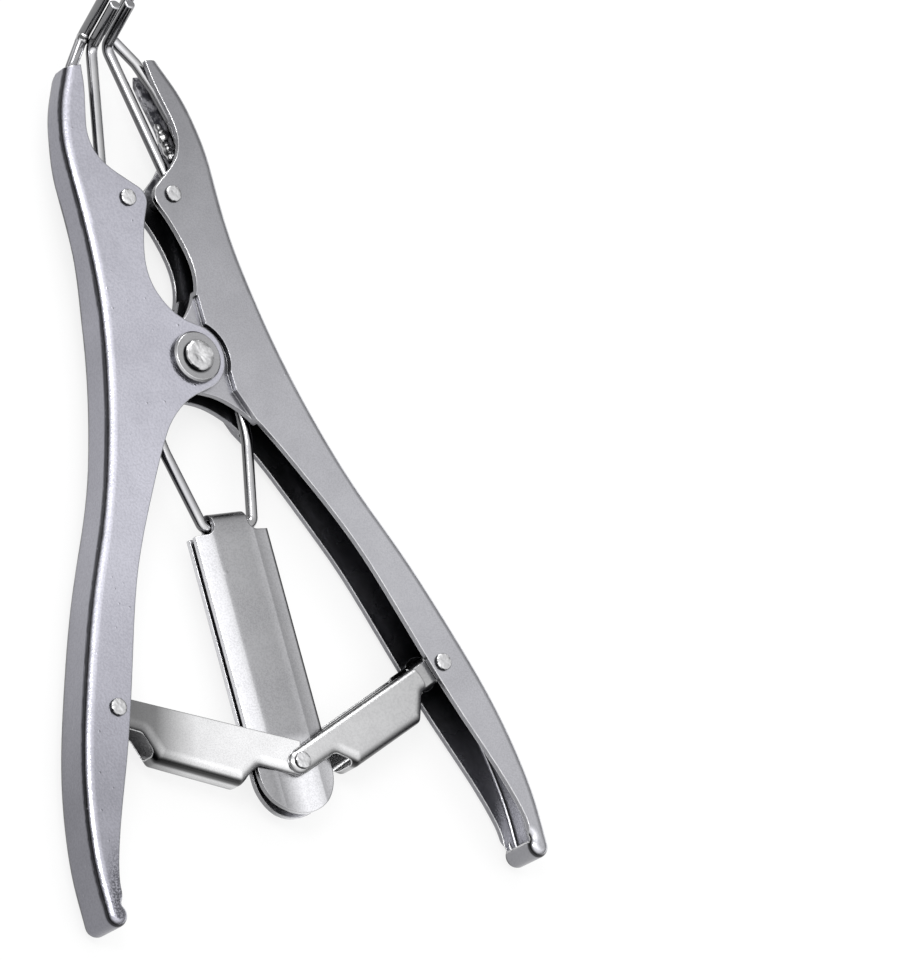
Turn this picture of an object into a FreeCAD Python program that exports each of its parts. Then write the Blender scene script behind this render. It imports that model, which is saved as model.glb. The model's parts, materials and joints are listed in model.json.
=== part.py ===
import FreeCAD
import Part

import math
import os

# Elastrator pliers lying flat, in millimetres.
# The jaws point along +Y, the grips along -Y, and the prongs stand up along +Z.
# The origin is on the main pivot's axis, on the flat rear head that the tool rests on.

# Handles: each is one pressed sheet channel, open towards the middle
sheet = 1.6
grip_depth = 14.5
guide_front = 6.8
tip_front = 6.3
pivot_rear = 5.7
guide_rear = 4.4
tip_rear = 3.4
tip_trim = 7.0
fold_radius = 2.6
nose_radius = 3.2
nose_x = 68.6
nose_y = -145.6
nose_sweep = 145.0
curl_radius = 1.2
grip_start_x = 66.0
grip_start_rise = 1.3
tip_y = 85.6
tip_inner_x = 10.5
tip_outer_x = 15.0
rear_taper_start_y = -52.0
rear_taper_end_y = -24.0
taper_start_y = 14.0
guide_flat_start_y = 37.0
guide_flat_end_y = 54.0
tip_flat_y = 68.0
outer_jaw_edge = [(19.8, 75.0), (22.7, 61.0), (22.9, 45.0), (23.7, 28.0), (26.3, 10.0)]
outer_grip_shape = [(31.5, 0.082), (40.4, 0.261), (50.5, 0.412), (60.4, 0.584), (67.8, 0.742), (71.6, 0.893)]
jaw_inner_edge = [(7.8, 53.3), (12.5, 58.2), (14.3, 64.2), (13.5, 70.5), (11.3, 79.5)]
stop_lobe = [(1.9, 44.3), (1.5, 46.7), (3.0, 49.5)]
throat_edge = [(2.4, 13.0), (6.3, 19.0), (7.5, 25.5), (6.4, 32.5), (3.9, 40.0)]
inner_grip_shape = [(66.0, 0.941), (60.9, 0.835), (52.3, 0.694), (43.7, 0.531), (35.6, 0.385), (25.5, 0.253)]
arch_edge = [(16.5, -21.8), (10.8, -15.0), (4.2, -10.7)]

# Pivot: the right handle's lobes are joggled inwards and nest between the left handle's
lobe_radius = 9.4
lobe_rise = 0.5
nest_gap = 0.15
joggle_radius = 11.2
joggle_throat_x = 6.3
joggle_throat_y = 17.5
joggle_grip_edge = [(10.2, -4.0), (10.4, -10.0), (14.6, -19.5)]
pivot_radius = 3.1
pivot_head_radius = 3.75
pivot_head_height = 1.3
pivot_dimple_radius = 1.6
pivot_dimple_depth = 0.35
washer_radius = 7.2
washer_thickness = 1.7
washer_bevel = 0.55
spacer_wall = 2.2
running_gap = 0.05
face_gap = 0.1

# Small rivets: one guides each slide rod in its jaw, one carries each link in its grip
rivet_radius = 1.6
rivet_head_radius = 2.4
rivet_head_height = 0.95
guide_x = 7.4
guide_y = 46.7
link_rivet_x = 52.9
link_share = 0.632

# Links: each is one folded sheet, its fold on the edge away from the jaws
link_sheet = 1.4
link_drop = 20.9
left_link_width = 9.6
link_top = 4.1
left_link_top_at_pin = 6.0
link_lug = 4.1
link_fold_drop = 10.0
link_fold_start = 15.0
link_fold_end = 41.0
link_fold_radius = 3.4
link_neck_start = 9.5
link_neck_end = 45.5
link_notch_radius = 3.2
link_eye_radius = 5.0
link_eye_hole = 3.1
link_joggle_at = 8.2

# Slider: one sheet folded double over the rod ends at its neck
slider_sheet = 1.5
slider_gap = 3.6
slider_half_width = 11.7
slider_flat_half_width = 6.6
slider_edge_drop = 1.0
slider_shoulder_y = -47.8
slider_neck_half_width = 5.5
slider_neck_fillet = 2.6
slider_tail = 1.8
slider_corner = 1.2

# Rods: two slide on the slider, two are welded in the jaw tips, and each ends in a prong
rod_radius = 1.6
prong_length = 17.4
prong_lean = 20.6
prong_bend = 3.4
prong_tip_round = 0.5
rod_hook_y = -45.6
rod_hook_length = 5.2
hook_play = 0.5
left_hook_x = 6.8
right_hook_x = 9.0
left_knee_x = 13.5
right_knee_x = 14.6
rod_knee_y = -21.0
jaw_rise = 1.45
rod_route = [(13.5, 39.0), (2.4, 92.0)]
rod_bends = [2.4, 26.0, 34.0]
fixed_route = [(18.1, 60.0), (17.0, 69.0), (14.2, 78.5), (10.6, 86.5), (4.15, 95.3)]
fixed_bends = [12.0, 12.0, 6.0]
bead_radius = 1.5
bead_length = 7.0
bead_spacing = 0.9

outer_edge = outer_jaw_edge + [(x, share * nose_y) for x, share in outer_grip_shape]
grip_inner_edge = [(x, share * nose_y) for x, share in inner_grip_shape] + arch_edge
link_rivet_y = link_share * nose_y
centre_pin_y = link_rivet_y - link_drop
slider_end_y = centre_pin_y - slider_tail
grip_half = grip_depth / 2
lobe_front = grip_half - sheet - nest_gap
lobe_rear = pivot_rear - sheet - nest_gap
front_seat = grip_half + face_gap / 2
rear_seat = pivot_rear + face_gap / 2
rest_height = rear_seat + washer_thickness + pivot_head_height
left_link_half = left_link_width / 2
right_link_half = left_link_half + link_sheet + face_gap
right_lug_half = grip_half - sheet - 2 * face_gap
slider_half = slider_gap / 2 + slider_sheet
tall = 2 * grip_depth

up = FreeCAD.Vector(0, 0, 1)
across = FreeCAD.Vector(1, 0, 0)
origin = FreeCAD.Vector(0, 0, 0)


def at(x, y, z=0.0):
    return FreeCAD.Vector(x, y, z)


def heading(degrees):
    return at(math.cos(math.radians(degrees)), math.sin(math.radians(degrees)))


def spline(points, start, end):
    """A smooth curve through the points, leaving and arriving in the given directions."""
    lead = (points[1] - points[0]).Length / 3
    lag = (points[-1] - points[-2]).Length / 3
    first = points[0] + start * lead
    last = points[-1] - end * lag
    poles = [points[0], first] + points[1:-1] + [last, points[-1]]
    knots = [0, 0, 0] + list(range(len(poles) - 2)) + [len(poles) - 3] * 3
    curve = Part.BSplineCurve()
    for correction in range(25):
        curve.buildFromPoles(poles, False, 3)
        scale = curve.LastParameter / knots[-1]
        for index in range(2, len(poles) - 2):
            reached = curve.value(sum(knots[index + 1:index + 4]) / 3 * scale)
            poles[index] = poles[index] + points[index - 1] - reached
    curve.buildFromPoles(poles, False, 3)
    return curve.toShape()


def arc(centre, radius, first, middle, last):
    ends = [centre + heading(angle) * radius for angle in (first, middle, last)]
    return Part.Arc(*ends).toShape()


def prism(face, low, high):
    moved = face.translated(up * low)
    return moved.extrude(up * (high - low))


def mirrored(shape):
    return shape.mirror(origin, across)


def cylinder(radius, low, high, x=0.0, y=0.0):
    return Part.makeCylinder(radius, high - low, at(x, y, low))


def revolved(profile, x=0.0, y=0.0):
    points = [at(radius, 0, height) for radius, height in profile]
    face = Part.Face(Part.makePolygon(points + points[:1]))
    return face.revolve(origin, up, 360).translated(at(x, y))


def near(edge, path, reach):
    middle = edge.valueAt((edge.FirstParameter + edge.LastParameter) / 2)
    flat = Part.Vertex(middle.x, middle.y, 0)
    return path.distToShape(flat)[0] < reach


def folds(block, path, height):
    """Edges of the block that run along the path, above and below the given height."""
    found = []
    for edge in block.Edges:
        box = edge.BoundBox
        level = box.ZMin > height or box.ZMax < -height
        if level and box.DiagonalLength > sheet / 2 and near(edge, path, sheet / 20):
            found.append(edge)
    return found


# Handle, drawn as the right-hand one. The left one is its mirror image.

def web_path(inset):
    """The web's face at a depth in the sheet: past the tip, down the back, round the nose and away."""
    nose = at(nose_x, nose_y)
    first = at(tip_outer_x, tip_y)
    points = [first] + [at(x, y) for x, y in outer_edge] + [nose + at(nose_radius, 0)]
    slope = (points[1] - first).normalize()
    back = spline(points, slope, at(0, -1))
    if inset:
        curve = back.Curve
        points = []
        for step in range(25):
            place = curve.LastParameter * step / 24
            direction = curve.tangent(place)[0]
            points.append(curve.value(place) + at(direction.y, -direction.x) * inset)
        back = spline(points, slope, at(0, -1))
    turn = nose + heading(nose_sweep) * (nose_radius + curl_radius)
    leave = turn + at(0, curl_radius + inset)
    return [Part.makeLine(points[0] - slope * 15, points[0]),
            back,
            arc(nose, nose_radius - inset, 0, nose_sweep / 2 - 180, nose_sweep - 360),
            arc(turn, curl_radius + inset, nose_sweep - 180, nose_sweep / 2 - 45, 90),
            Part.makeLine(leave, at(-50 - inset, leave.y))]


def mouth_plan():
    """Everything on the open side: left of the grip, the pivot lobe and the jaw, and past the tip."""
    start = at(grip_start_x, nose_y + grip_start_rise)
    lobe_centre = at(0, lobe_rise)
    lobe_start = lobe_centre + heading(250) * lobe_radius
    lobe_end = lobe_centre + heading(112) * lobe_radius
    finish = at(tip_inner_x, tip_y)
    grip = spline([start] + [at(x, y) for x, y in grip_inner_edge] + [lobe_start], heading(90), heading(160))
    lobe = arc(lobe_centre, lobe_radius, 250, 180, 112)
    throat_points = [lobe_end] + [at(x, y) for x, y in throat_edge] + [at(*stop_lobe[0])]
    throat = spline(throat_points, heading(22), heading(112))
    stop = Part.Arc(*[at(x, y) for x, y in stop_lobe]).toShape()
    jaw_points = [at(*stop_lobe[2])] + [at(x, y) for x, y in jaw_inner_edge] + [finish]
    jaw = spline(jaw_points, heading(40), heading(100))
    beyond = [finish, at(80, tip_y), at(80, tip_y + 40), at(-60, tip_y + 40), at(-60, start.y), start]
    far = [Part.makeLine(a, b) for a, b in zip(beyond, beyond[1:])]
    return Part.Face(Part.Wire([grip, lobe, throat, stop, jaw] + far))


def depth_line(stops, inset, side):
    """One wall's face seen from the side: level runs joined by smooth tapers."""
    edges = []
    for (y0, z0), (y1, z1) in zip(stops, stops[1:]):
        start = at(0, y0, side * (z0 - inset))
        end = at(0, y1, side * (z1 - inset))
        if z0 == z1:
            edges.append(Part.makeLine(start, end))
        else:
            third = at(0, (y1 - y0) / 3, 0)
            curve = Part.BezierCurve()
            curve.setPoles([start, start + third, end - third, end])
            edges.append(curve.toShape())
    return edges


def side_slab(inset):
    """A slab whose faces follow the handle's depth along Y, reduced by the inset."""
    far = nose_y - 30
    near_end = tip_y + 30
    front = [(far, grip_half), (taper_start_y, grip_half), (guide_flat_start_y, guide_front),
             (guide_flat_end_y, guide_front), (tip_flat_y, tip_front), (near_end, tip_front)]
    rear = [(far, grip_half), (rear_taper_start_y, grip_half), (rear_taper_end_y, pivot_rear),
            (taper_start_y, pivot_rear), (guide_flat_start_y, guide_rear), (guide_flat_end_y, guide_rear),
            (tip_flat_y, tip_rear), (near_end, tip_rear)]
    edges = depth_line(front, inset, 1) + depth_line(rear, inset, -1)
    for stop in (0, -1):
        edges.append(Part.makeLine(at(0, front[stop][0], front[stop][1] - inset),
                                   at(0, rear[stop][0], inset - rear[stop][1])))
    face = Part.Face(Part.Wire(Part.__sortEdges__(edges)))
    return face.translated(across * -70).extrude(across * 170)


def tip_waste():
    """The rear corner of the jaw's tip, cut away on a curve."""
    low = at(0, tip_y - tip_trim, -tip_rear - 1)
    high = at(0, tip_y + 1, tip_front / 4)
    middle = at(0, tip_y - tip_trim / 4, -tip_rear / 2)
    curve = Part.Arc(low, middle, high).toShape()
    corner = at(0, tip_y + 1, -tip_rear - 1)
    face = Part.Face(Part.Wire([curve, Part.makeLine(high, corner), Part.makeLine(corner, low)]))
    return face.extrude(across * 60)


def joggle_plan(grow):
    """The area of the right handle's walls that is pressed inwards, grown by a margin."""
    disc = Part.Face(Part.Wire(Part.makeCircle(joggle_radius + grow, origin)))
    throat = Part.makePlane(40, joggle_throat_y + grow, at(joggle_throat_x + grow - 40, 0))
    edge = [at(x + grow, y) for x, y in joggle_grip_edge]
    outline = edge + [at(-40, edge[-1].y), at(-40, edge[0].y)]
    grip = Part.Face(Part.makePolygon(outline + outline[:1]))
    return disc.fuse([throat, grip]).removeSplitter()


def rounded(inset):
    """The space inside the web's face at that depth, as deep as the handle, with its folds rounded."""
    path = web_path(inset)
    start = path[0].Vertexes[0].Point
    end = path[-1].Vertexes[-1].Point
    corner = at(end.x, start.y)
    plan = Part.Face(Part.Wire(path + [Part.makeLine(end, corner), Part.makeLine(corner, start)]))
    block = prism(plan, -tall, tall).common(side_slab(inset))
    return block.makeFillet(fold_radius - inset, folds(block, Part.Wire(path), sheet))


def channel(joggled):
    block = rounded(0)
    core = rounded(sheet)
    nose = at(nose_x, nose_y)
    curl = [nose + heading(nose_sweep) * (nose_radius - sheet - 0.5), nose + heading(nose_sweep) * 6,
            nose + at(-6, 12), nose + at(0, 12)]
    slot = Part.Face(Part.makePolygon(curl + curl[:1]))
    core = core.fuse(prism(slot, sheet - grip_half, grip_half - sheet))
    if joggled:
        pressed = joggle_plan(0)
        around = joggle_plan(sheet)
        block = block.cut([prism(pressed, lobe_front, tall), prism(pressed, -tall, -lobe_rear)])
        core = core.cut([prism(around, lobe_front - sheet, tall), prism(around, -tall, sheet - lobe_rear)])
    holes = [cylinder(pivot_radius + running_gap, -tall, tall),
             cylinder(rivet_radius + running_gap, -tall, tall, guide_x, guide_y),
             cylinder(rivet_radius + running_gap, -tall, tall, link_rivet_x, link_rivet_y)]
    block = block.cut([prism(mouth_plan(), -tall, tall), tip_waste()] + holes)
    return block.cut(core).Solids[0]


def left_handle():
    return mirrored(channel(False))


def right_handle():
    return channel(True)


# Pivot

def pivot_head(seat, side, dimple):
    """One head of the main rivet, from the axis outwards and down to the shank."""
    bevel = pivot_head_height / 3
    top = seat + pivot_head_height
    profile = [(0, top - dimple), (pivot_dimple_radius, top), (pivot_head_radius - bevel, top),
               (pivot_head_radius, top - bevel), (pivot_head_radius, seat), (pivot_radius, seat)]
    return [(radius, side * height) for radius, height in profile]


def main_rivet():
    front = pivot_head(front_seat + washer_thickness, 1, pivot_dimple_depth)
    rear = pivot_head(rear_seat + washer_thickness, -1, 0)
    return revolved(front + rear[::-1])


def washer(seat, side):
    inner = pivot_radius + running_gap
    top = seat + washer_thickness
    profile = [(inner, seat), (washer_radius, seat), (washer_radius, top - washer_bevel),
               (washer_radius - washer_bevel, top), (inner, top)]
    return revolved([(radius, side * height) for radius, height in profile])


def pivot_spacer():
    low = sheet + face_gap / 2 - lobe_rear
    high = lobe_front - sheet - face_gap / 2
    tube = cylinder(pivot_radius + running_gap + spacer_wall, low, high)
    return tube.cut(cylinder(pivot_radius + running_gap, low, high))


# Rivets

def rivet(front, rear, x, y):
    """A rivet with a low domed head on the wall at each end of its shank."""
    dome = 2 * rivet_head_height / 3
    rim = rivet_head_height - dome
    bulge = (rivet_head_radius ** 2 + dome ** 2) / (2 * dome)
    ball = Part.makeSphere(bulge, at(x, y, rivet_head_height - bulge))
    head = cylinder(rivet_head_radius, 0, rivet_head_height, x, y).common(ball)
    heads = [head.translated(up * front), head.mirror(origin, up).translated(up * -rear)]
    return cylinder(rivet_radius, -rear - rim / 2, front + rim / 2, x, y).fuse(heads).removeSplitter()


# Links, drawn along +X from the grip's rivet to the centre pin, with the fold towards -Y

link_length = math.hypot(link_rivet_x, link_rivet_y - centre_pin_y)
link_slope = math.degrees(math.atan2(link_rivet_y - centre_pin_y, link_rivet_x))


def link_plan(top_at_pin):
    low = -link_fold_drop
    points = [at(0, link_top), at(link_length, top_at_pin), at(link_length, -link_lug),
              at(link_neck_end, -link_lug), at(link_fold_end, low), at(link_fold_start, low),
              at(link_neck_start, -link_lug), at(0, -link_lug)]
    bar = prism(Part.Face(Part.makePolygon(points + points[:1])), -tall, tall)
    notches = [edge for edge in bar.Edges if edge.BoundBox.ZLength > tall and
               edge.BoundBox.YMax < -link_top + 0.01 and
               link_neck_start - 0.01 < edge.BoundBox.XMin < link_neck_end + 0.01]
    bar = bar.makeFillet(link_notch_radius / 2, notches)
    eye = cylinder(link_eye_radius, -tall, tall)
    lug = cylinder(link_lug, -tall, tall, link_length)
    return bar.fuse([eye, lug]).removeSplitter()


def link(half, lug_half, top_at_pin):
    plan = link_plan(top_at_pin)
    body = plan.common(Part.makeBox(100, 60, 2 * half, at(-20, -30, -half)))
    fold_line = Part.makeLine(at(link_fold_start, -link_fold_drop), at(link_fold_end, -link_fold_drop))
    body = body.makeFillet(link_fold_radius, folds(body, fold_line, half / 2))
    room = Part.makeBox(100, 60, 2 * (half - link_sheet),
                        at(-20, link_sheet - link_fold_drop, link_sheet - half))
    corners = [edge for edge in room.Edges if edge.BoundBox.XLength > 50 and
               edge.BoundBox.YMax < link_sheet - link_fold_drop + 0.01]
    room = room.makeFillet(link_fold_radius - link_sheet, corners)
    if lug_half < half:
        step = at(-20, -30, lug_half)
        waste = Part.makeBox(20 + link_joggle_at, 60, tall, step)
        body = body.cut([waste, waste.mirror(origin, up)])
        kept = Part.makeBox(20 + link_joggle_at + link_sheet, 60, tall, step - up * link_sheet)
        room = room.cut([kept, kept.mirror(origin, up)])
    holes = [cylinder(link_eye_hole, -tall, tall),
             cylinder(rivet_radius + running_gap, -tall, tall, link_length)]
    return body.cut(room).cut(holes)


def place_link(shape):
    turned = shape.rotated(origin, up, -link_slope)
    return turned.translated(at(-link_rivet_x, link_rivet_y))


def left_link():
    return place_link(link(left_link_half, left_link_half, left_link_top_at_pin))


def right_link():
    return mirrored(place_link(link(right_link_half, right_lug_half, link_top)))


# Slider

def slider_plan():
    neck = slider_neck_half_width
    wide = slider_half_width
    top = rod_hook_y + hook_play + slider_half
    points = [at(-neck, top), at(neck, top), at(neck, slider_shoulder_y), at(wide, slider_shoulder_y),
              at(wide, slider_end_y), at(-wide, slider_end_y), at(-wide, slider_shoulder_y),
              at(-neck, slider_shoulder_y)]
    block = prism(Part.Face(Part.makePolygon(points + points[:1])), -tall, tall)
    upright = [edge for edge in block.Edges if edge.BoundBox.ZLength > tall]
    hollows = [edge for edge in upright if abs(edge.BoundBox.YMin - slider_shoulder_y) < 0.01 and
               abs(edge.BoundBox.XMin) < neck + 0.01]
    block = block.makeFillet(slider_neck_fillet, hollows)
    return block.fuse(cylinder(wide, -tall, tall, 0, slider_end_y)).removeSplitter()


def slider_section(inset):
    """The folded sheet seen from its end: flat in the middle, its sides bent back."""
    flat = slider_flat_half_width
    wide = slider_half_width + 5
    high = slider_half - inset
    low = high - slider_edge_drop * (wide - flat) / (slider_half_width - flat)
    points = [at(-wide, 0, low), at(-flat, 0, high), at(flat, 0, high), at(wide, 0, low),
              at(wide, 0, -low), at(flat, 0, -high), at(-flat, 0, -high), at(-wide, 0, -low)]
    return Part.Face(Part.makePolygon(points + points[:1]))


def slider():
    bottom = slider_end_y - slider_half_width - 1
    top = rod_hook_y + hook_play + slider_half + 1
    outside = slider_section(0).translated(at(0, bottom)).extrude(at(0, top - bottom))
    body = slider_plan().common(outside)
    fold_y = rod_hook_y + hook_play + slider_half
    crease = [edge for edge in body.Edges if edge.BoundBox.YMin > fold_y - 0.01 and
              edge.BoundBox.XLength > slider_neck_half_width]
    body = body.makeFillet(slider_half - 0.01, crease)
    room = slider_section(slider_sheet).translated(at(0, bottom - 5)).extrude(at(0, rod_hook_y + hook_play - bottom + 5))
    bore = Part.makeCylinder(slider_gap / 2, 60, at(-30, rod_hook_y + hook_play, 0), across)
    pin_hole = cylinder(rivet_radius + running_gap, -tall, tall, 0, centre_pin_y)
    return body.cut([room, bore, pin_hole])


# Rods

def bent_path(points, radii):
    """Straight runs through the points, joined by tangent arcs of the given radii."""
    edges = []
    start = points[0]
    for before, corner, after, radius in zip(points, points[1:], points[2:], radii):
        into = (corner - before).normalize()
        out = (after - corner).normalize()
        turn = into.getAngle(out)
        reach = radius * math.tan(turn / 2)
        first = corner - into * reach
        last = corner + out * reach
        inward = (out - into).normalize()
        centre = corner + inward * (radius / math.cos(turn / 2))
        edges.append(Part.makeLine(start, first))
        edges.append(Part.Arc(first, centre - inward * radius, last).toShape())
        start = last
    edges.append(Part.makeLine(start, points[-1]))
    return Part.Wire(edges)


def rod(points, radii):
    path = bent_path(points, radii)
    direction = (points[1] - points[0]).normalize()
    section = Part.Wire(Part.makeCircle(rod_radius, points[0], direction))
    solid = path.makePipeShell([section], True, False, 2)
    ends = [edge for edge in solid.Edges if edge.Length < 2 * math.pi * rod_radius + 0.01 and
            (edge.CenterOfMass - points[-1]).Length < rod_radius / 4]
    return solid.makeFillet(prong_tip_round, ends)


def prong_end(elbow):
    lean = math.radians(prong_lean)
    return elbow + at(0, math.sin(lean), math.cos(lean)) * prong_length


def slide_rod(hook_x, knee_x):
    route = [at(hook_x - rod_hook_length, rod_hook_y), at(hook_x, rod_hook_y)]
    first = rod_hook_y + prong_bend
    reach = rod_route[-2][1] - first
    for x, y in [(knee_x, rod_knee_y)] + rod_route:
        route.append(at(x, y, jaw_rise * max(0, min(1, (y - first) / reach))))
    route.append(prong_end(route[-1]))
    return rod(route, rod_bends + [prong_bend])


def fixed_rod():
    route = [at(x, y, jaw_rise) for x, y in fixed_route]
    route.append(prong_end(route[-1]))
    return rod(route, fixed_bends + [prong_bend])


def weld_bead():
    """A row of overlapping weld drops in the corner between the fixed rod and the jaw's web."""
    start = at(*fixed_route[0])
    along = (at(*fixed_route[1]) - start).normalize()
    out = at(along.y, -along.x)
    count = int(bead_length / bead_spacing)
    drops = []
    for index in range(count):
        middle = start + along * (bead_spacing * (index + 1)) + out * rod_radius + up * (jaw_rise + rod_radius / 2)
        drops.append(Part.makeSphere(bead_radius * (0.9 + 0.1 * (index % 2)), middle))
    return drops[0].fuse(drops[1:]).removeSplitter()


def centre_pin():
    seat = right_link_half + face_gap / 2
    return rivet(seat, seat, 0, centre_pin_y)


def pieces():
    fixed = fixed_rod()
    left = left_handle()
    right = right_handle()
    guide = rivet(guide_front, guide_rear, guide_x, guide_y)
    link_rivet = rivet(grip_half, grip_half, link_rivet_x, link_rivet_y)
    bead = weld_bead()
    return {
        "left_handle": left,
        "right_handle": right,
        "main_rivet": main_rivet(),
        "front_washer": washer(front_seat, 1),
        "rear_washer": washer(rear_seat, -1),
        "pivot_spacer": pivot_spacer(),
        "left_guide_rivet": mirrored(guide),
        "right_guide_rivet": guide,
        "left_link_rivet": mirrored(link_rivet),
        "right_link_rivet": link_rivet,
        "left_link": left_link(),
        "right_link": right_link(),
        "centre_pin": centre_pin(),
        "slider": slider(),
        "left_slide_rod": mirrored(slide_rod(left_hook_x, left_knee_x)),
        "right_slide_rod": slide_rod(right_hook_x, right_knee_x),
        "left_fixed_rod": mirrored(fixed),
        "right_fixed_rod": fixed,
        "left_weld_bead": mirrored(bead),
        "right_weld_bead": bead,
    }


os.makedirs("parts", exist_ok=True)
for name, shape in pieces().items():
    lifted = shape.translated(up * rest_height)
    lifted.exportStep(os.path.join("parts", name + ".step"))
    print(name, len(lifted.Solids), "solids", round(lifted.Volume, 1), "mm3", lifted.isValid())
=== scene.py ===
import json
import math

import bmesh
import bpy
from mathutils import Matrix, Vector
from mathutils import noise as noiseField


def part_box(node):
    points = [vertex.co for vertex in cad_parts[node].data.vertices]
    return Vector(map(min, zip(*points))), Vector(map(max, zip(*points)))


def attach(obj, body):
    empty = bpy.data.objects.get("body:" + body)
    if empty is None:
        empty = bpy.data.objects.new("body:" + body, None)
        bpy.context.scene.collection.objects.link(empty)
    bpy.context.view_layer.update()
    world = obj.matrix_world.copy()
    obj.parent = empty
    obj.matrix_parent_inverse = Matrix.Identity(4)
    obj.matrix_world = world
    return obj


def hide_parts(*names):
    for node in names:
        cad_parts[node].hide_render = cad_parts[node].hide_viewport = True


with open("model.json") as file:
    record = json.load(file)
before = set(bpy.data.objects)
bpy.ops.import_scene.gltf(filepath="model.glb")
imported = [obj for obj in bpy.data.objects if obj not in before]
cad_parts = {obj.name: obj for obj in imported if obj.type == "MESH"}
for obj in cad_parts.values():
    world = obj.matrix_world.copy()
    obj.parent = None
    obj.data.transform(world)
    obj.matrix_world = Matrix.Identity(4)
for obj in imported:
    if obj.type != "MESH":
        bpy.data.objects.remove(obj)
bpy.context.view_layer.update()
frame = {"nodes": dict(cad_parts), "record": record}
nodes = frame["nodes"]
scene = bpy.context.scene

# Camera, standing where the photograph was taken from

cameraSetup = {
    "eye": (-0.91096, -0.37671, 1.28747),
    "right": (0.7952, -0.2632, 0.5462),
    "forward": (0.5992, 0.2039, -0.7742),
    "lens": 238.15, "sensor": 36.0, "clip": (0.05, 20.0),
}


def makeCamera(setup):
    data = bpy.data.cameras.new("camera")
    data.sensor_fit = "HORIZONTAL"
    data.sensor_width = setup["sensor"]
    data.lens = setup["lens"]
    data.clip_start, data.clip_end = setup["clip"]
    camera = bpy.data.objects.new("camera", data)
    scene.collection.objects.link(camera)
    right = Vector(setup["right"]).normalized()
    forward = Vector(setup["forward"]).normalized()
    up = right.cross(forward).normalized()
    right = forward.cross(up)
    turn = Matrix((right, up, -forward)).transposed().to_4x4()
    camera.matrix_world = Matrix.Translation(setup["eye"]) @ turn
    scene.camera = camera


makeCamera(cameraSetup)
print("camera set")

# Node helpers


def newTree(name):
    material = bpy.data.materials.new(name)
    material.use_nodes = True
    tree = material.node_tree
    tree.nodes.clear()
    return material, tree


def addNode(tree, kind, inputs=None, **settings):
    node = tree.nodes.new(kind)
    for key, value in settings.items():
        setattr(node, key, value)
    for key, value in (inputs or {}).items():
        socket = node.inputs[key]
        if isinstance(value, bpy.types.NodeSocket):
            tree.links.new(value, socket)
        else:
            socket.default_value = value
    return node


def maths(tree, operation, first, second=0.0, clamp=False):
    inputs = {0: first, 1: second}
    return addNode(tree, "ShaderNodeMath", inputs, operation=operation, use_clamp=clamp).outputs[0]


def times(tree, first, second):
    return maths(tree, "MULTIPLY", first, second)


def ramp(tree, value, low, high, lowOut=0.0, highOut=1.0):
    inputs = {"Value": value, "From Min": low, "From Max": high, "To Min": lowOut, "To Max": highOut}
    return addNode(tree, "ShaderNodeMapRange", inputs, interpolation_type="SMOOTHSTEP").outputs["Result"]


def noise(tree, where, scale, detail, roughness):
    inputs = {"Vector": where, "Scale": scale, "Detail": detail, "Roughness": roughness}
    return addNode(tree, "ShaderNodeTexNoise", inputs).outputs[0]


def mixColour(tree, share, first, second):
    node = addNode(tree, "ShaderNodeMix", data_type="RGBA")
    # the colour sockets stand after those for numbers and vectors
    for socket, value in ((node.inputs[0], share), (node.inputs[6], first), (node.inputs[7], second)):
        if isinstance(value, bpy.types.NodeSocket):
            tree.links.new(value, socket)
        elif isinstance(value, (int, float)):
            socket.default_value = value
        else:
            socket.default_value = (*value, 1.0)
    return node.outputs[2]


def stepped(tree, value, stops):
    low, high = stops[0][0], stops[-1][0]
    top = max(level for place, level in stops)
    inputs = {"Value": value, "From Min": low, "From Max": high}
    share = addNode(tree, "ShaderNodeMapRange", inputs).outputs[0]
    node = addNode(tree, "ShaderNodeValToRGB", {0: share})
    marks = node.color_ramp.elements
    while len(marks) < len(stops):
        marks.new(0.5)
    for mark, (place, level) in zip(marks, stops):
        mark.position = (place - low) / (high - low)
        mark.color = (level / top, level / top, level / top, 1.0)
    return times(tree, node.outputs[0], top)


def along(tree, where, direction):
    inputs = {0: where, 1: direction}
    return addNode(tree, "ShaderNodeVectorMath", inputs, operation="DOT_PRODUCT").outputs["Value"]


def reachFrom(tree, where, centre):
    away = addNode(tree, "ShaderNodeVectorMath", {0: where, 1: centre}, operation="SUBTRACT").outputs[0]
    inputs = {0: away, 1: (1.0, 1.0, 0.0)}
    flat = addNode(tree, "ShaderNodeVectorMath", inputs, operation="MULTIPLY").outputs[0]
    return addNode(tree, "ShaderNodeVectorMath", {0: flat}, operation="LENGTH").outputs["Value"]


# Plating. Each tone is a list of places and the brightness there, blended in between.

# The facing, direction, end and ring tones paint light and shade into the colour.
across = (1.0, 0.0, 0.0)
lengthwise = (0.0, 1.0, 0.0)
upwards = (0.0, 0.0, 1.0)
pivotAxis = (0.0, 0.0, 0.0)

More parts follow.
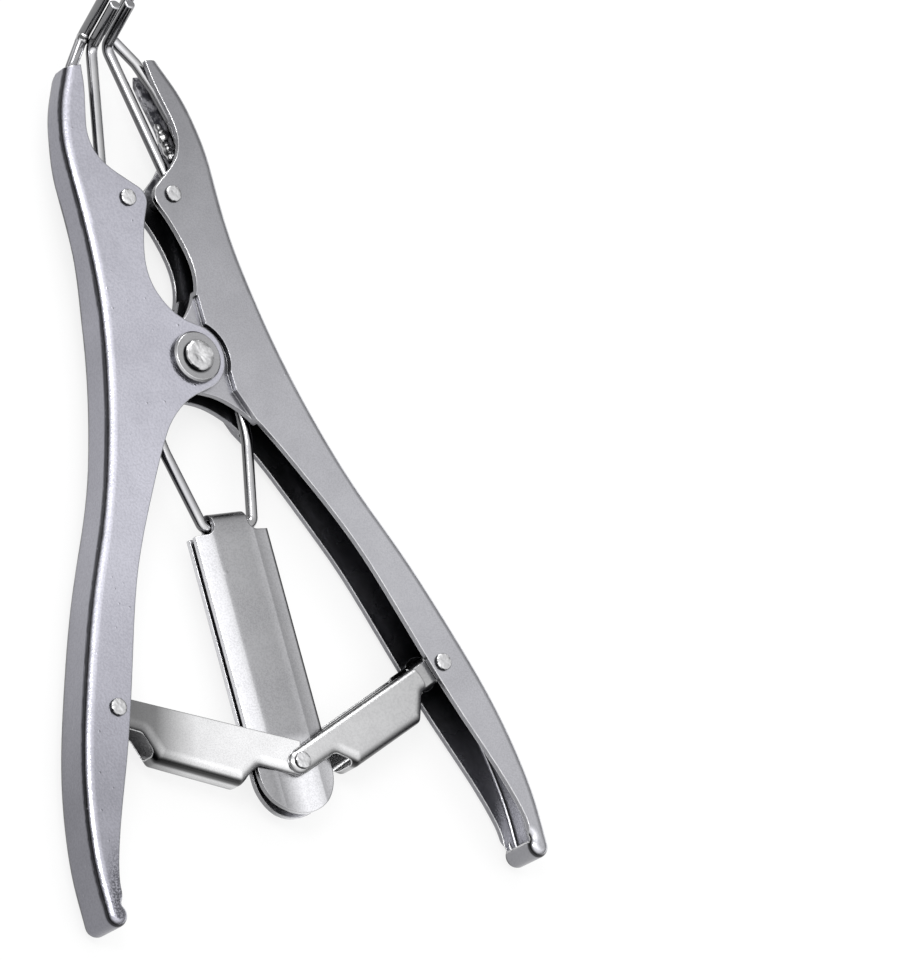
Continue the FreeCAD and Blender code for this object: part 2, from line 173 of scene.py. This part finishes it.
grain = {
    "broadNoise": (4.0, 0.6), "fineNoise": (3.0, 0.55), "waveNoise": (3.0, 0.5),  # detail and roughness
    "shadeBand": (0.35, 0.65), "speckBand": (0.60, 0.36), "roughBand": (0.25, 0.75),
    "wearHighlightBand": (0.995, 0.90), "wearHighlightPatches": (0.30, 0.60, 0.55, 1.0),
    "dingBand": (0.16, 0.02), "dingSoftness": 0.02,
    "cornerShadeWave": 0.08, "shadeAndSmudgeRoughness": 0.2, "samples": 6,
}
plate = {
    "colour": (0.565, 0.565, 0.590), "shade": (0.52, 0.52, 0.545),
    # The dark colour is for real specks and for painted shade in corners; the edge colour is for worn edges
    # and a painted edge highlight.
    "edge": (0.90, 0.90, 0.91), "speckAndShadeColour": (0.012, 0.013, 0.018),
    "roughness": 0.22, "roughSpread": 0.05, "speck": 0.10,
    "broad": 60.0, "pebble": 2300.0, "pebbleDepth": 0.000022, "wave": 260.0, "waveDepth": 0.00005,
    "dings": 170.0, "dingShare": 0.30, "dingDepth": 0.00009,
    # The corner distance and the two numbers after it set painted shade in corners, from occlusion.
    "bevel": 0.0005, "wearAndHighlight": 1.0, "corner": 0.016, "cornerShadeFrom": 0.66, "cornerShadeTo": 0.30,
    "cornerShadeAlong": [(-0.1240, 0.35), (-0.1050, 1.0), (0.0440, 1.0), (0.0560, 0.30)],  # painted corner shade, scaled along the tool and weaker near its ends
    "paintedFacingLight": [(0.0, 0.60), (0.12, 0.58), (0.26, 0.11), (0.56, 0.11),  # painted light and shade by how the surface faces, from upright to level
               (0.74, 1.60), (0.92, 1.50), (0.985, 1.0)],
    "paintedLightTones": [],  # painted light and shade along a direction
    "paintedEndSheen": None,  # painted sheen across the slider's round end
    "paintedShadeRing": None,  # painted shade in a ring, out from a centre
    "calm": None,  # edge wear and its painted highlight, kept low around the pivot
    # The smudge is a dirty patch on the face; the jaw lining paints light and shade into the channel.
    "smudge": None, "paintedJawInside": None,
}
# Handles: the lengthwise tones paint reflection brighter and darker along the handle.
leftHandlePlate = dict(
    plate, colour=(0.560, 0.558, 0.626), shade=(0.520, 0.518, 0.582),
    pebble=1500.0, pebbleDepth=0.000065, dings=360.0, dingShare=0.26, dingDepth=0.00011,
    paintedLightTones=[(lengthwise, [(-0.145, 0.66), (-0.115, 0.62), (-0.089, 0.80), (-0.043, 1.05),
                         (0.005, 0.93), (0.013, 0.98), (0.044, 0.87), (0.085, 0.87)])],
    smudge={"direction": (-0.95, 0.31, 0.0), "beside": (0.0256, 0.0215), "below": (-0.1230, -0.1380),
            "grain": (2400.0, 3.0, 0.6), "grainBand": (0.34, 0.60), "level": (0.90, 0.97), "share": 0.72},
)
# The right handle's lengthwise tone paints reflection darker towards the jaw.
rightHandlePlate = dict(
    plate, colour=(0.560, 0.560, 0.594), shade=(0.520, 0.520, 0.552),
    pebbleDepth=0.000020, waveDepth=0.00003, dings=330.0, dingShare=0.05, dingDepth=0.00005,
    paintedLightTones=[(lengthwise, [(-0.145, 0.84), (-0.094, 0.86), (-0.064, 0.93), (-0.033, 0.84),
                         (0.006, 0.78), (0.034, 0.69), (0.065, 0.56), (0.080, 0.52)])],
    calm=[(0.0115, 0.15), (0.0200, 0.15), (0.0235, 1.0)],
    paintedJawInside={"start": (0.0460, 0.0540), "depth": (0.80, 0.55), "blotch": (330.0, 4.0, 0.6),
            "blotchBand": (0.42, 0.60), "pale": (0.42, 0.42, 0.45), "dark": (0.05, 0.05, 0.06),
            "dulling": 0.9},
)
# Bright plates: the facing tone paints highlights on folds and shade on flanks and sides.
bright = dict(
    plate, colour=(0.86, 0.86, 0.87), shade=(0.80, 0.80, 0.81), roughness=0.20,
    pebbleDepth=0.000014, waveDepth=0.00003, dingShare=0.08,
    corner=0.006, cornerShadeFrom=0.50, cornerShadeTo=0.18, cornerShadeAlong=None,
    paintedFacingLight=[(0.0, 0.80), (0.20, 0.60), (0.40, 0.22), (0.62, 0.30), (0.80, 1.10), (0.97, 1.05), (1.0, 1.0)],
)
# Left link tones: painted shade towards one end, painted light on the inner back plate, painted highlight and
# dark stripes up the flange.
leftLinkPlate = dict(
    bright,
    paintedLightTones=[((1.0, -0.3, 0.0), [(-0.0225, 0.20), (-0.0120, 0.25), (0.0010, 0.95), (0.02, 1.08)]),
           (upwards, [(0.0040, 2.0), (0.0054, 2.0), (0.0061, 0.25), (0.0076, 0.85),
                      (0.0094, 1.0), (0.0106, 0.26), (0.0119, 0.28), (0.0129, 1.0)])],
)
# Right link tones: painted shade along it, painted light low down, painted highlight and dark stripes up the
# flange.
rightLinkPlate = dict(
    bright, speck=0.08, pebble=1700.0, pebbleDepth=0.000010, waveDepth=0.00004,
    paintedLightTones=[(across, [(0.005, 0.76), (0.050, 0.62)]),
           (upwards, [(0.0024, 1.3), (0.0038, 1.3), (0.0048, 0.28), (0.0070, 0.90),
                      (0.0106, 1.0), (0.0120, 0.28), (0.0134, 0.30), (0.0145, 1.0)])],
)
# Slider tones: painted facet shading and a dark edge across it, painted shade at the neck, painted sheen
# across the round end.
sliderPlate = dict(
    bright, colour=(0.74, 0.74, 0.765), shade=(0.69, 0.69, 0.715), roughness=0.27,
    speck=0.14, pebble=2100.0, pebbleDepth=0.000012, wearAndHighlight=0.35,
    paintedFacingLight=[(0.0, 0.9), (0.5, 0.6), (0.9, 0.9), (0.97, 1.0), (1.0, 1.0)],
    paintedLightTones=[(across, [(-0.0117, 1.05), (-0.0078, 0.88), (-0.0056, 0.56), (0.0040, 0.50),
                     (0.0072, 0.64), (0.0108, 0.90), (0.0113, 0.16), (0.0117, 0.12)]),
           (lengthwise, [(-0.0500, 1.0), (-0.0440, 0.80), (-0.0425, 0.30)])],
    paintedEndSheen={"blend": (-0.1040, -0.1100),
              "stops": [(-0.0117, 0.40), (-0.0080, 0.34), (-0.0060, 0.50), (0.0, 1.30),
                        (0.0040, 1.30), (0.0068, 0.95), (0.0117, 1.30)]},
)
# Rods: the facing tone paints highlight and shade, the lengthwise tone paints light on the prongs.
rodPlate = dict(
    bright, colour=(0.58, 0.58, 0.59), shade=(0.50, 0.50, 0.52), roughness=0.11, roughSpread=0.04,
    speck=0.05, pebbleDepth=0.000008, waveDepth=0.00002, dingShare=0.0, bevel=0.0002, wearAndHighlight=0.0,
    paintedFacingLight=[(0.0, 0.30), (0.25, 0.26), (0.45, 0.60), (0.62, 1.45), (0.80, 1.4), (0.93, 0.75), (1.0, 0.6)],
    paintedLightTones=[(lengthwise, [(0.0880, 1.0), (0.0915, 1.25)])],
)
# Rivets: the facing tone paints the head's sides dark and its top bright.
rivetPlate = dict(
    bright, colour=(0.66, 0.66, 0.67), shade=(0.56, 0.56, 0.57), roughness=0.30,
    pebble=1500.0, pebbleDepth=0.00005, wave=500.0, waveDepth=0.00022, dingShare=0.0,
    corner=0.0025, cornerShadeFrom=0.80, cornerShadeTo=0.50, bevel=0.0002, wearAndHighlight=0.0,
    paintedFacingLight=[(0.0, 0.06), (0.45, 0.10), (0.75, 1.0), (0.90, 1.2), (1.0, 1.0)],
)
# Washer: the facing tone paints its top bright, its ring paints shade round the rivet head.
washerPlate = dict(
    bright, colour=(0.38, 0.38, 0.39), shade=(0.34, 0.34, 0.35), roughness=0.18,
    speck=0.08, waveDepth=0.00002, dingShare=0.0, bevel=0.0003,
    corner=0.0022, cornerShadeFrom=0.78, cornerShadeTo=0.50,
    paintedFacingLight=[(0.0, 0.15), (0.45, 0.25), (0.65, 1.9), (0.90, 1.7), (1.0, 1.0)],
    paintedShadeRing={"centre": (-0.0003, -0.0003, 0.0), "stops": [(0.0042, 0.30), (0.0045, 0.50), (0.0048, 1.0)]},
)
# The weld keeps the bright plates' facing tone, painted highlight and shade.
weldPlate = dict(
    bright, colour=(0.88, 0.88, 0.88), shade=(0.50, 0.50, 0.52), roughness=0.20,
    pebble=1300.0, pebbleDepth=0.0002, wave=500.0, waveDepth=0.0006, dingShare=0.0, corner=0.002,
)


# Painted light and shade: brightness set by facing, along directions, across the slider's end and round the
# washer's ring.
def paintedLightTone(tree, where, level, look):
    paintedLevel = stepped(tree, level, look["paintedFacingLight"])
    for direction, stops in look["paintedLightTones"]:
        paintedLevel = times(tree, paintedLevel, stepped(tree, along(tree, where, direction), stops))
    if look["paintedEndSheen"]:
        share = ramp(tree, along(tree, where, lengthwise), *look["paintedEndSheen"]["blend"])
        endSheen = stepped(tree, along(tree, where, across), look["paintedEndSheen"]["stops"])
        paintedLevel = addNode(tree, "ShaderNodeMix", {0: share, 2: paintedLevel, 3: endSheen}).outputs[0]
    if look["paintedShadeRing"]:
        reach = reachFrom(tree, where, look["paintedShadeRing"]["centre"])
        paintedLevel = times(tree, paintedLevel, stepped(tree, reach, look["paintedShadeRing"]["stops"]))
    return paintedLevel


# Worn edges, which also paint a highlight along rounded edges.
def edgeWear(tree, where, normal, rounded, wave, look):
    likeness = addNode(tree, "ShaderNodeVectorMath", {0: rounded, 1: normal}, operation="DOT_PRODUCT")
    edge = times(tree, ramp(tree, likeness.outputs["Value"], *grain["wearHighlightBand"]), look["wearAndHighlight"])
    wornAndLit = times(tree, edge, ramp(tree, wave, *grain["wearHighlightPatches"]))
    if look["calm"]:
        wornAndLit = times(tree, wornAndLit, stepped(tree, reachFrom(tree, where, pivotAxis), look["calm"]))
    return wornAndLit


# Painted shade in corners and recesses from occlusion, scaled along the tool, with a real smudge added.
def cornerShadeAndSmudge(tree, where, level, hidden, wave, look):
    shelter = maths(tree, "ADD", hidden, times(tree, wave, grain["cornerShadeWave"]))
    shadeAndSmudge = ramp(tree, shelter, look["cornerShadeFrom"], look["cornerShadeTo"])
    if look["cornerShadeAlong"]:
        shadeAndSmudge = times(tree, shadeAndSmudge, stepped(tree, along(tree, where, lengthwise), look["cornerShadeAlong"]))
    smudge = look["smudge"]
    if smudge:
        beside = ramp(tree, along(tree, where, smudge["direction"]), *smudge["beside"])
        below = ramp(tree, along(tree, where, lengthwise), *smudge["below"])
        grains = ramp(tree, noise(tree, where, *smudge["grain"]), *smudge["grainBand"])
        onTop = ramp(tree, level, *smudge["level"])
        spot = times(tree, times(tree, beside, below), times(tree, grains, onTop))
        shadeAndSmudge = maths(tree, "MAXIMUM", shadeAndSmudge, times(tree, spot, smudge["share"]))
    return shadeAndSmudge


def surfaceHeight(tree, where, fine, wave, look):
    pebbles = times(tree, fine, look["pebbleDepth"])
    height = maths(tree, "ADD", pebbles, times(tree, wave, look["waveDepth"]))
    if look["dingShare"]:
        inputs = {"Vector": where, "Scale": look["dings"], "Randomness": 1.0}
        cell = addNode(tree, "ShaderNodeTexVoronoi", inputs)
        chosen = addNode(tree, "ShaderNodeSeparateColor", {0: cell.outputs["Color"]}).outputs[0]
        chosen = ramp(tree, chosen, look["dingShare"], look["dingShare"] - grain["dingSoftness"])
        ding = times(tree, ramp(tree, cell.outputs["Distance"], *grain["dingBand"]), chosen)
        height = maths(tree, "ADD", height, times(tree, ding, look["dingDepth"]))
    return height


# Painted light and shade in the jaw channel: a dull blotchy coat where occlusion is deep.
def paintJawInside(tree, where, hidden, shade, shader, paintedJawInside):
    start = ramp(tree, along(tree, where, lengthwise), *paintedJawInside["start"])
    inside = times(tree, start, ramp(tree, hidden, *paintedJawInside["depth"]))
    blotch = ramp(tree, noise(tree, where, *paintedJawInside["blotch"]), *paintedJawInside["blotchBand"])
    rough = mixColour(tree, blotch, paintedJawInside["pale"], paintedJawInside["dark"])
    tree.links.new(mixColour(tree, inside, shade, rough), shader.inputs["Base Color"])
    metallic = maths(tree, "SUBTRACT", 1.0, times(tree, inside, paintedJawInside["dulling"]))
    tree.links.new(metallic, shader.inputs["Metallic"])


def platedMetal(name, look):
    material, tree = newTree(name)
    where = addNode(tree, "ShaderNodeTexCoord").outputs["Object"]
    broad = noise(tree, where, look["broad"], *grain["broadNoise"])
    fine = noise(tree, where, look["pebble"], *grain["fineNoise"])
    wave = noise(tree, where, look["wave"], *grain["waveNoise"])
    normal = addNode(tree, "ShaderNodeNewGeometry").outputs["Normal"]
    level = maths(tree, "ABSOLUTE", addNode(tree, "ShaderNodeSeparateXYZ", {0: normal}).outputs["Z"])
    rounded = addNode(tree, "ShaderNodeBevel", {"Radius": look["bevel"]}, samples=grain["samples"]).outputs[0]
    inputs = {"Distance": look["corner"]}
    hidden = addNode(tree, "ShaderNodeAmbientOcclusion", inputs, samples=grain["samples"]).outputs["AO"]

    shade = mixColour(tree, ramp(tree, broad, *grain["shadeBand"]), look["shade"], look["colour"])
    specks = times(tree, ramp(tree, fine, *grain["speckBand"]), look["speck"])
    shade = mixColour(tree, specks, shade, look["speckAndShadeColour"])
    # Painted light and shade: the colour scaled by the tones.
    inputs = {0: shade, "Scale": paintedLightTone(tree, where, level, look)}
    lightPaintedColour = addNode(tree, "ShaderNodeVectorMath", inputs, operation="SCALE").outputs[0]
    # Painted shade in corners, plus the smudge.
    shadeAndSmudge = cornerShadeAndSmudge(tree, where, level, hidden, wave, look)
    shade = mixColour(tree, shadeAndSmudge, lightPaintedColour, look["speckAndShadeColour"])
    # Edge wear, also a painted edge highlight.
    if look["wearAndHighlight"]:
        shade = mixColour(tree, edgeWear(tree, where, normal, rounded, wave, look), shade, look["edge"])

    spread = (look["roughness"] - look["roughSpread"], look["roughness"] + look["roughSpread"])
    rough = ramp(tree, broad, *grain["roughBand"], *spread)
    rough = maths(tree, "ADD", rough, times(tree, shadeAndSmudge, grain["shadeAndSmudgeRoughness"]), clamp=True)
    inputs = {"Strength": 1.0, "Distance": 1.0, "Normal": rounded,
              "Height": surfaceHeight(tree, where, fine, wave, look)}
    bump = addNode(tree, "ShaderNodeBump", inputs).outputs[0]
    inputs = {"Base Color": shade, "Metallic": 1.0, "Roughness": rough, "Normal": bump}
    shader = addNode(tree, "ShaderNodeBsdfPrincipled", inputs)
    # Painted light and shade inside the jaw channel.
    if look["paintedJawInside"]:
        paintJawInside(tree, where, hidden, shade, shader, look["paintedJawInside"])
    output = addNode(tree, "ShaderNodeOutputMaterial")
    tree.links.new(shader.outputs[0], output.inputs[0])
    return material


# A finish goes to the node of its name, or else to every piece of its slot
finishes = {
    "left_handle": platedMetal("leftHandlePlating", leftHandlePlate),
    "right_handle": platedMetal("rightHandlePlating", rightHandlePlate),
    "left_link": platedMetal("leftLinkPlating", leftLinkPlate),
    "right_link": platedMetal("rightLinkPlating", rightLinkPlate),
    "slider_steel": platedMetal("sliderPlating", sliderPlate),
    "rod_steel": platedMetal("rodPlating", rodPlate),
    "rivet_steel": platedMetal("rivetPlating", rivetPlate),
    "washer_steel": platedMetal("washerPlating", washerPlate),
    "weld_metal": platedMetal("weldPlating", weldPlate),
}
for entry in frame["record"]["subparts"]:
    piece = nodes[entry["node"]]
    for place in piece.material_slots:
        place.material = finishes.get(entry["node"]) or finishes[entry["material_slot"]]
print("finishes set")

# Rivets with upset heads, a little lumpy, the pivot's sunk at its middle

rivets = {
    "pieces": [("leftGuideRivet", "left_guide_rivet", "left_handle_body"),
               ("rightGuideRivet", "right_guide_rivet", "right_handle_body"),
               ("leftLinkRivet", "left_link_rivet", "left_handle_body"),
               ("rightLinkRivet", "right_link_rivet", "right_handle_body"),
               ("centrePin", "centre_pin", "slider_body")],
    "head": 0.00095, "shank": 0.0016, "radius": None,  # no radius: the node's own
    "crown": [(0.0, 1.0), (0.20, 0.9), (0.38, 0.4), (0.50, 0.0), (0.68, 0.0)],  # shares of radius and bowl
    "bowl": 0.0, "rim": 0.00020, "rimDrops": (0.35, 1.6),
    "lumps": 0.00016, "wobble": 0.06, "lumpScale": 900.0, "lumpShift": 3000.0,
    "shankMargin": 1.1, "rimMargin": 0.95, "steps": 56, "doubles": 0.000001, "sharp": 38.0,
}
pivotRivet = dict(
    rivets, pieces=[("pivotRivet", "main_rivet", "pivot")], head=0.0013, shank=0.0031, radius=0.0044,
    bowl=0.00030, rim=0.00035, lumps=0.00035, wobble=0.04,
)


def makeRivet(name, node, body, setup):
    low, high = (Vector(corner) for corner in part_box(node))
    middle = (low + high) / 2
    radius = setup["radius"] or (high.x - low.x) / 2
    top, rim, (inner, outer) = high.z, setup["rim"], setup["rimDrops"]
    bm = bmesh.new()
    half = [(radius * out, top - setup["bowl"] * sink) for out, sink in setup["crown"]]
    half += [(radius - rim, top - rim * inner), (radius, top - rim * outer)]
    half += [(radius, top - setup["head"]), (setup["shank"], top - setup["head"])]
    lower = [(reach, low.z + top - z) for reach, z in reversed(half)]
    line = [bm.verts.new((reach, 0.0, z)) for reach, z in half + lower]
    edges = [bm.edges.new(pair) for pair in zip(line, line[1:])]
    bmesh.ops.spin(bm, geom=line + edges, cent=(0, 0, 0), axis=(0, 0, 1), dvec=(0, 0, 0), angle=math.tau,
                   steps=setup["steps"], use_merge=True)
    bmesh.ops.remove_doubles(bm, verts=bm.verts[:], dist=setup["doubles"])
    shift = middle * setup["lumpShift"]
    for vert in bm.verts:
        reach = math.hypot(vert.co.x, vert.co.y)
        lump = abs(noiseField.noise(vert.co * setup["lumpScale"] + shift))
        if reach > setup["shank"] * setup["shankMargin"]:
            vert.co.x *= 1.0 - lump * setup["wobble"]
            vert.co.y *= 1.0 - lump * setup["wobble"]
        if reach < radius * setup["rimMargin"]:
            inwards = (middle.z - vert.co.z) / abs(middle.z - vert.co.z)
            vert.co.z += inwards * lump * setup["lumps"]
    bmesh.ops.translate(bm, verts=bm.verts[:], vec=(middle.x, middle.y, 0.0))
    bmesh.ops.recalc_face_normals(bm, faces=bm.faces[:])
    mesh = bpy.data.meshes.new(name)
    bm.to_mesh(mesh)
    bm.free()
    for face in mesh.polygons:
        face.use_smooth = True
    mesh.set_sharp_from_angle(angle=math.radians(setup["sharp"]))
    piece = bpy.data.objects.new(name, mesh)
    scene.collection.objects.link(piece)
    mesh.materials.append(finishes["rivet_steel"])
    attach(piece, body)
    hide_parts(node)


for setup in (rivets, pivotRivet):
    for name, node, body in setup["pieces"]:
        makeRivet(name, node, body, setup)
print("rivets made")

# Weld metal run in beside the fixed rods' roots, and a drop at their elbows

welds = {
    "root": [((0.0156, 0.0600, 0.0078), 0.00150), ((0.0150, 0.0616, 0.0081), 0.00165),
             ((0.0148, 0.0634, 0.0079), 0.00135), ((0.0140, 0.0650, 0.0083), 0.00160),
             ((0.0143, 0.0668, 0.0080), 0.00125), ((0.0134, 0.0682, 0.0084), 0.00110)],
    "elbow": [((0.0049, 0.0942, 0.0104), 0.00175), ((0.0046, 0.0951, 0.0112), 0.00165)],
    "voxel": 0.00028, "lumps": 0.00045, "lumpScale": 700.0, "lumpShift": 2000.0, "subdivisions": 3,
}


def makeWeld(name, drops, side, body, setup):
    bm = bmesh.new()
    for (x, y, z), radius in drops:
        made = bmesh.ops.create_icosphere(bm, subdivisions=setup["subdivisions"], radius=radius)
        shift = Vector((x, y, z)) * setup["lumpShift"]
        for vert in made["verts"]:
            lump = noiseField.noise(vert.co * setup["lumpScale"] + shift)
            vert.co *= 1.0 + lump * setup["lumps"] / radius
        bmesh.ops.translate(bm, verts=made["verts"], vec=(x, y, z))
    if side < 0:
        bmesh.ops.scale(bm, verts=bm.verts[:], vec=(-1.0, 1.0, 1.0))
        bmesh.ops.reverse_faces(bm, faces=bm.faces[:])
    mesh = bpy.data.meshes.new(name)
    bm.to_mesh(mesh)
    bm.free()
    piece = bpy.data.objects.new(name, mesh)
    scene.collection.objects.link(piece)
    joined = piece.modifiers.new("joined", "REMESH")
    joined.mode = "VOXEL"
    joined.voxel_size = setup["voxel"]
    joined.use_smooth_shade = True
    mesh.materials.append(finishes["weld_metal"])
    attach(piece, body)


for side, word in ((-1, "left"), (1, "right")):
    makeWeld(word + "RootWeld", welds["root"], side, word + "_handle_body", welds)
    makeWeld(word + "ElbowWeld", welds["elbow"], side, word + "_handle_body", welds)
print("welds made")

# Floor, lights and surroundings

studio = {
    "floorSize": 4.0, "floorColour": (0.95, 0.95, 0.95), "floorRoughness": 0.9, "floorSpecular": 0.1,
    "floorWhite": 0.8,  # share of plain white that the camera and reflections see
    "lamps": [("keyLamp", (-0.95, 0.37, 1.48), 0.7, 9.0),  # place, size and power
              ("backLamp", (0.18, 1.53, 0.94), 0.9, 10.0)],
    "sky": [(-1.0, 0.30), (-0.02, 0.25), (0.0, 0.14), (0.28, 0.32), (0.48, 0.62),  # light by height
            (0.66, 0.92), (0.82, 1.04), (0.92, 1.40), (1.0, 1.65)],
    "white": (1.0, 1.0, 1.0, 1.0),
}


def seenByView(tree):
    path = addNode(tree, "ShaderNodeLightPath")
    either = maths(tree, "MAXIMUM", path.outputs["Is Camera Ray"], path.outputs["Is Glossy Ray"])
    return maths(tree, "MAXIMUM", either, path.outputs["Is Transmission Ray"])


def makeFloor(setup):
    half = setup["floorSize"] / 2
    corners = [(-half, -half, 0), (half, -half, 0), (half, half, 0), (-half, half, 0)]
    mesh = bpy.data.meshes.new("floor")
    mesh.from_pydata(corners, [], [(0, 1, 2, 3)])
    floor = bpy.data.objects.new("floor", mesh)
    scene.collection.objects.link(floor)
    material, tree = newTree("floorWhite")
    inputs = {"Base Color": (*setup["floorColour"], 1.0), "Roughness": setup["floorRoughness"],
              "Specular IOR Level": setup["floorSpecular"]}
    shader = addNode(tree, "ShaderNodeBsdfPrincipled", inputs)
    white = addNode(tree, "ShaderNodeEmission", {"Color": setup["white"], "Strength": 1.0})
    share = times(tree, seenByView(tree), setup["floorWhite"])
    mix = addNode(tree, "ShaderNodeMixShader", {0: share, 1: shader.outputs[0], 2: white.outputs[0]})
    output = addNode(tree, "ShaderNodeOutputMaterial")
    tree.links.new(mix.outputs[0], output.inputs[0])
    mesh.materials.append(material)


def makeLamp(name, place, size, power):
    data = bpy.data.lights.new(name, "AREA")
    data.shape = "DISK"
    data.size = size
    data.energy = power
    lamp = bpy.data.objects.new(name, data)
    scene.collection.objects.link(lamp)
    lamp.location = place
    lamp.rotation_euler = (-Vector(place)).to_track_quat("-Z", "Y").to_euler()


def makeWorld(setup):
    world = bpy.data.worlds.new("studioSky")
    scene.world = world
    world.use_nodes = True
    tree = world.node_tree
    tree.nodes.clear()
    direction = addNode(tree, "ShaderNodeTexCoord").outputs["Generated"]
    height = addNode(tree, "ShaderNodeSeparateXYZ", {0: direction}).outputs["Z"]
    level = stepped(tree, height, setup["sky"])
    light = addNode(tree, "ShaderNodeBackground", {"Color": setup["white"], "Strength": level})
    plain = addNode(tree, "ShaderNodeBackground", {"Color": setup["white"], "Strength": 1.0})
    seen = addNode(tree, "ShaderNodeLightPath").outputs["Is Camera Ray"]
    mix = addNode(tree, "ShaderNodeMixShader", {0: seen, 1: light.outputs[0], 2: plain.outputs[0]})
    output = addNode(tree, "ShaderNodeOutputWorld")
    tree.links.new(mix.outputs[0], output.inputs[0])


makeFloor(studio)
for lamp in studio["lamps"]:
    makeLamp(*lamp)
makeWorld(studio)
scene.view_settings.view_transform = "Standard"
print("studio set")
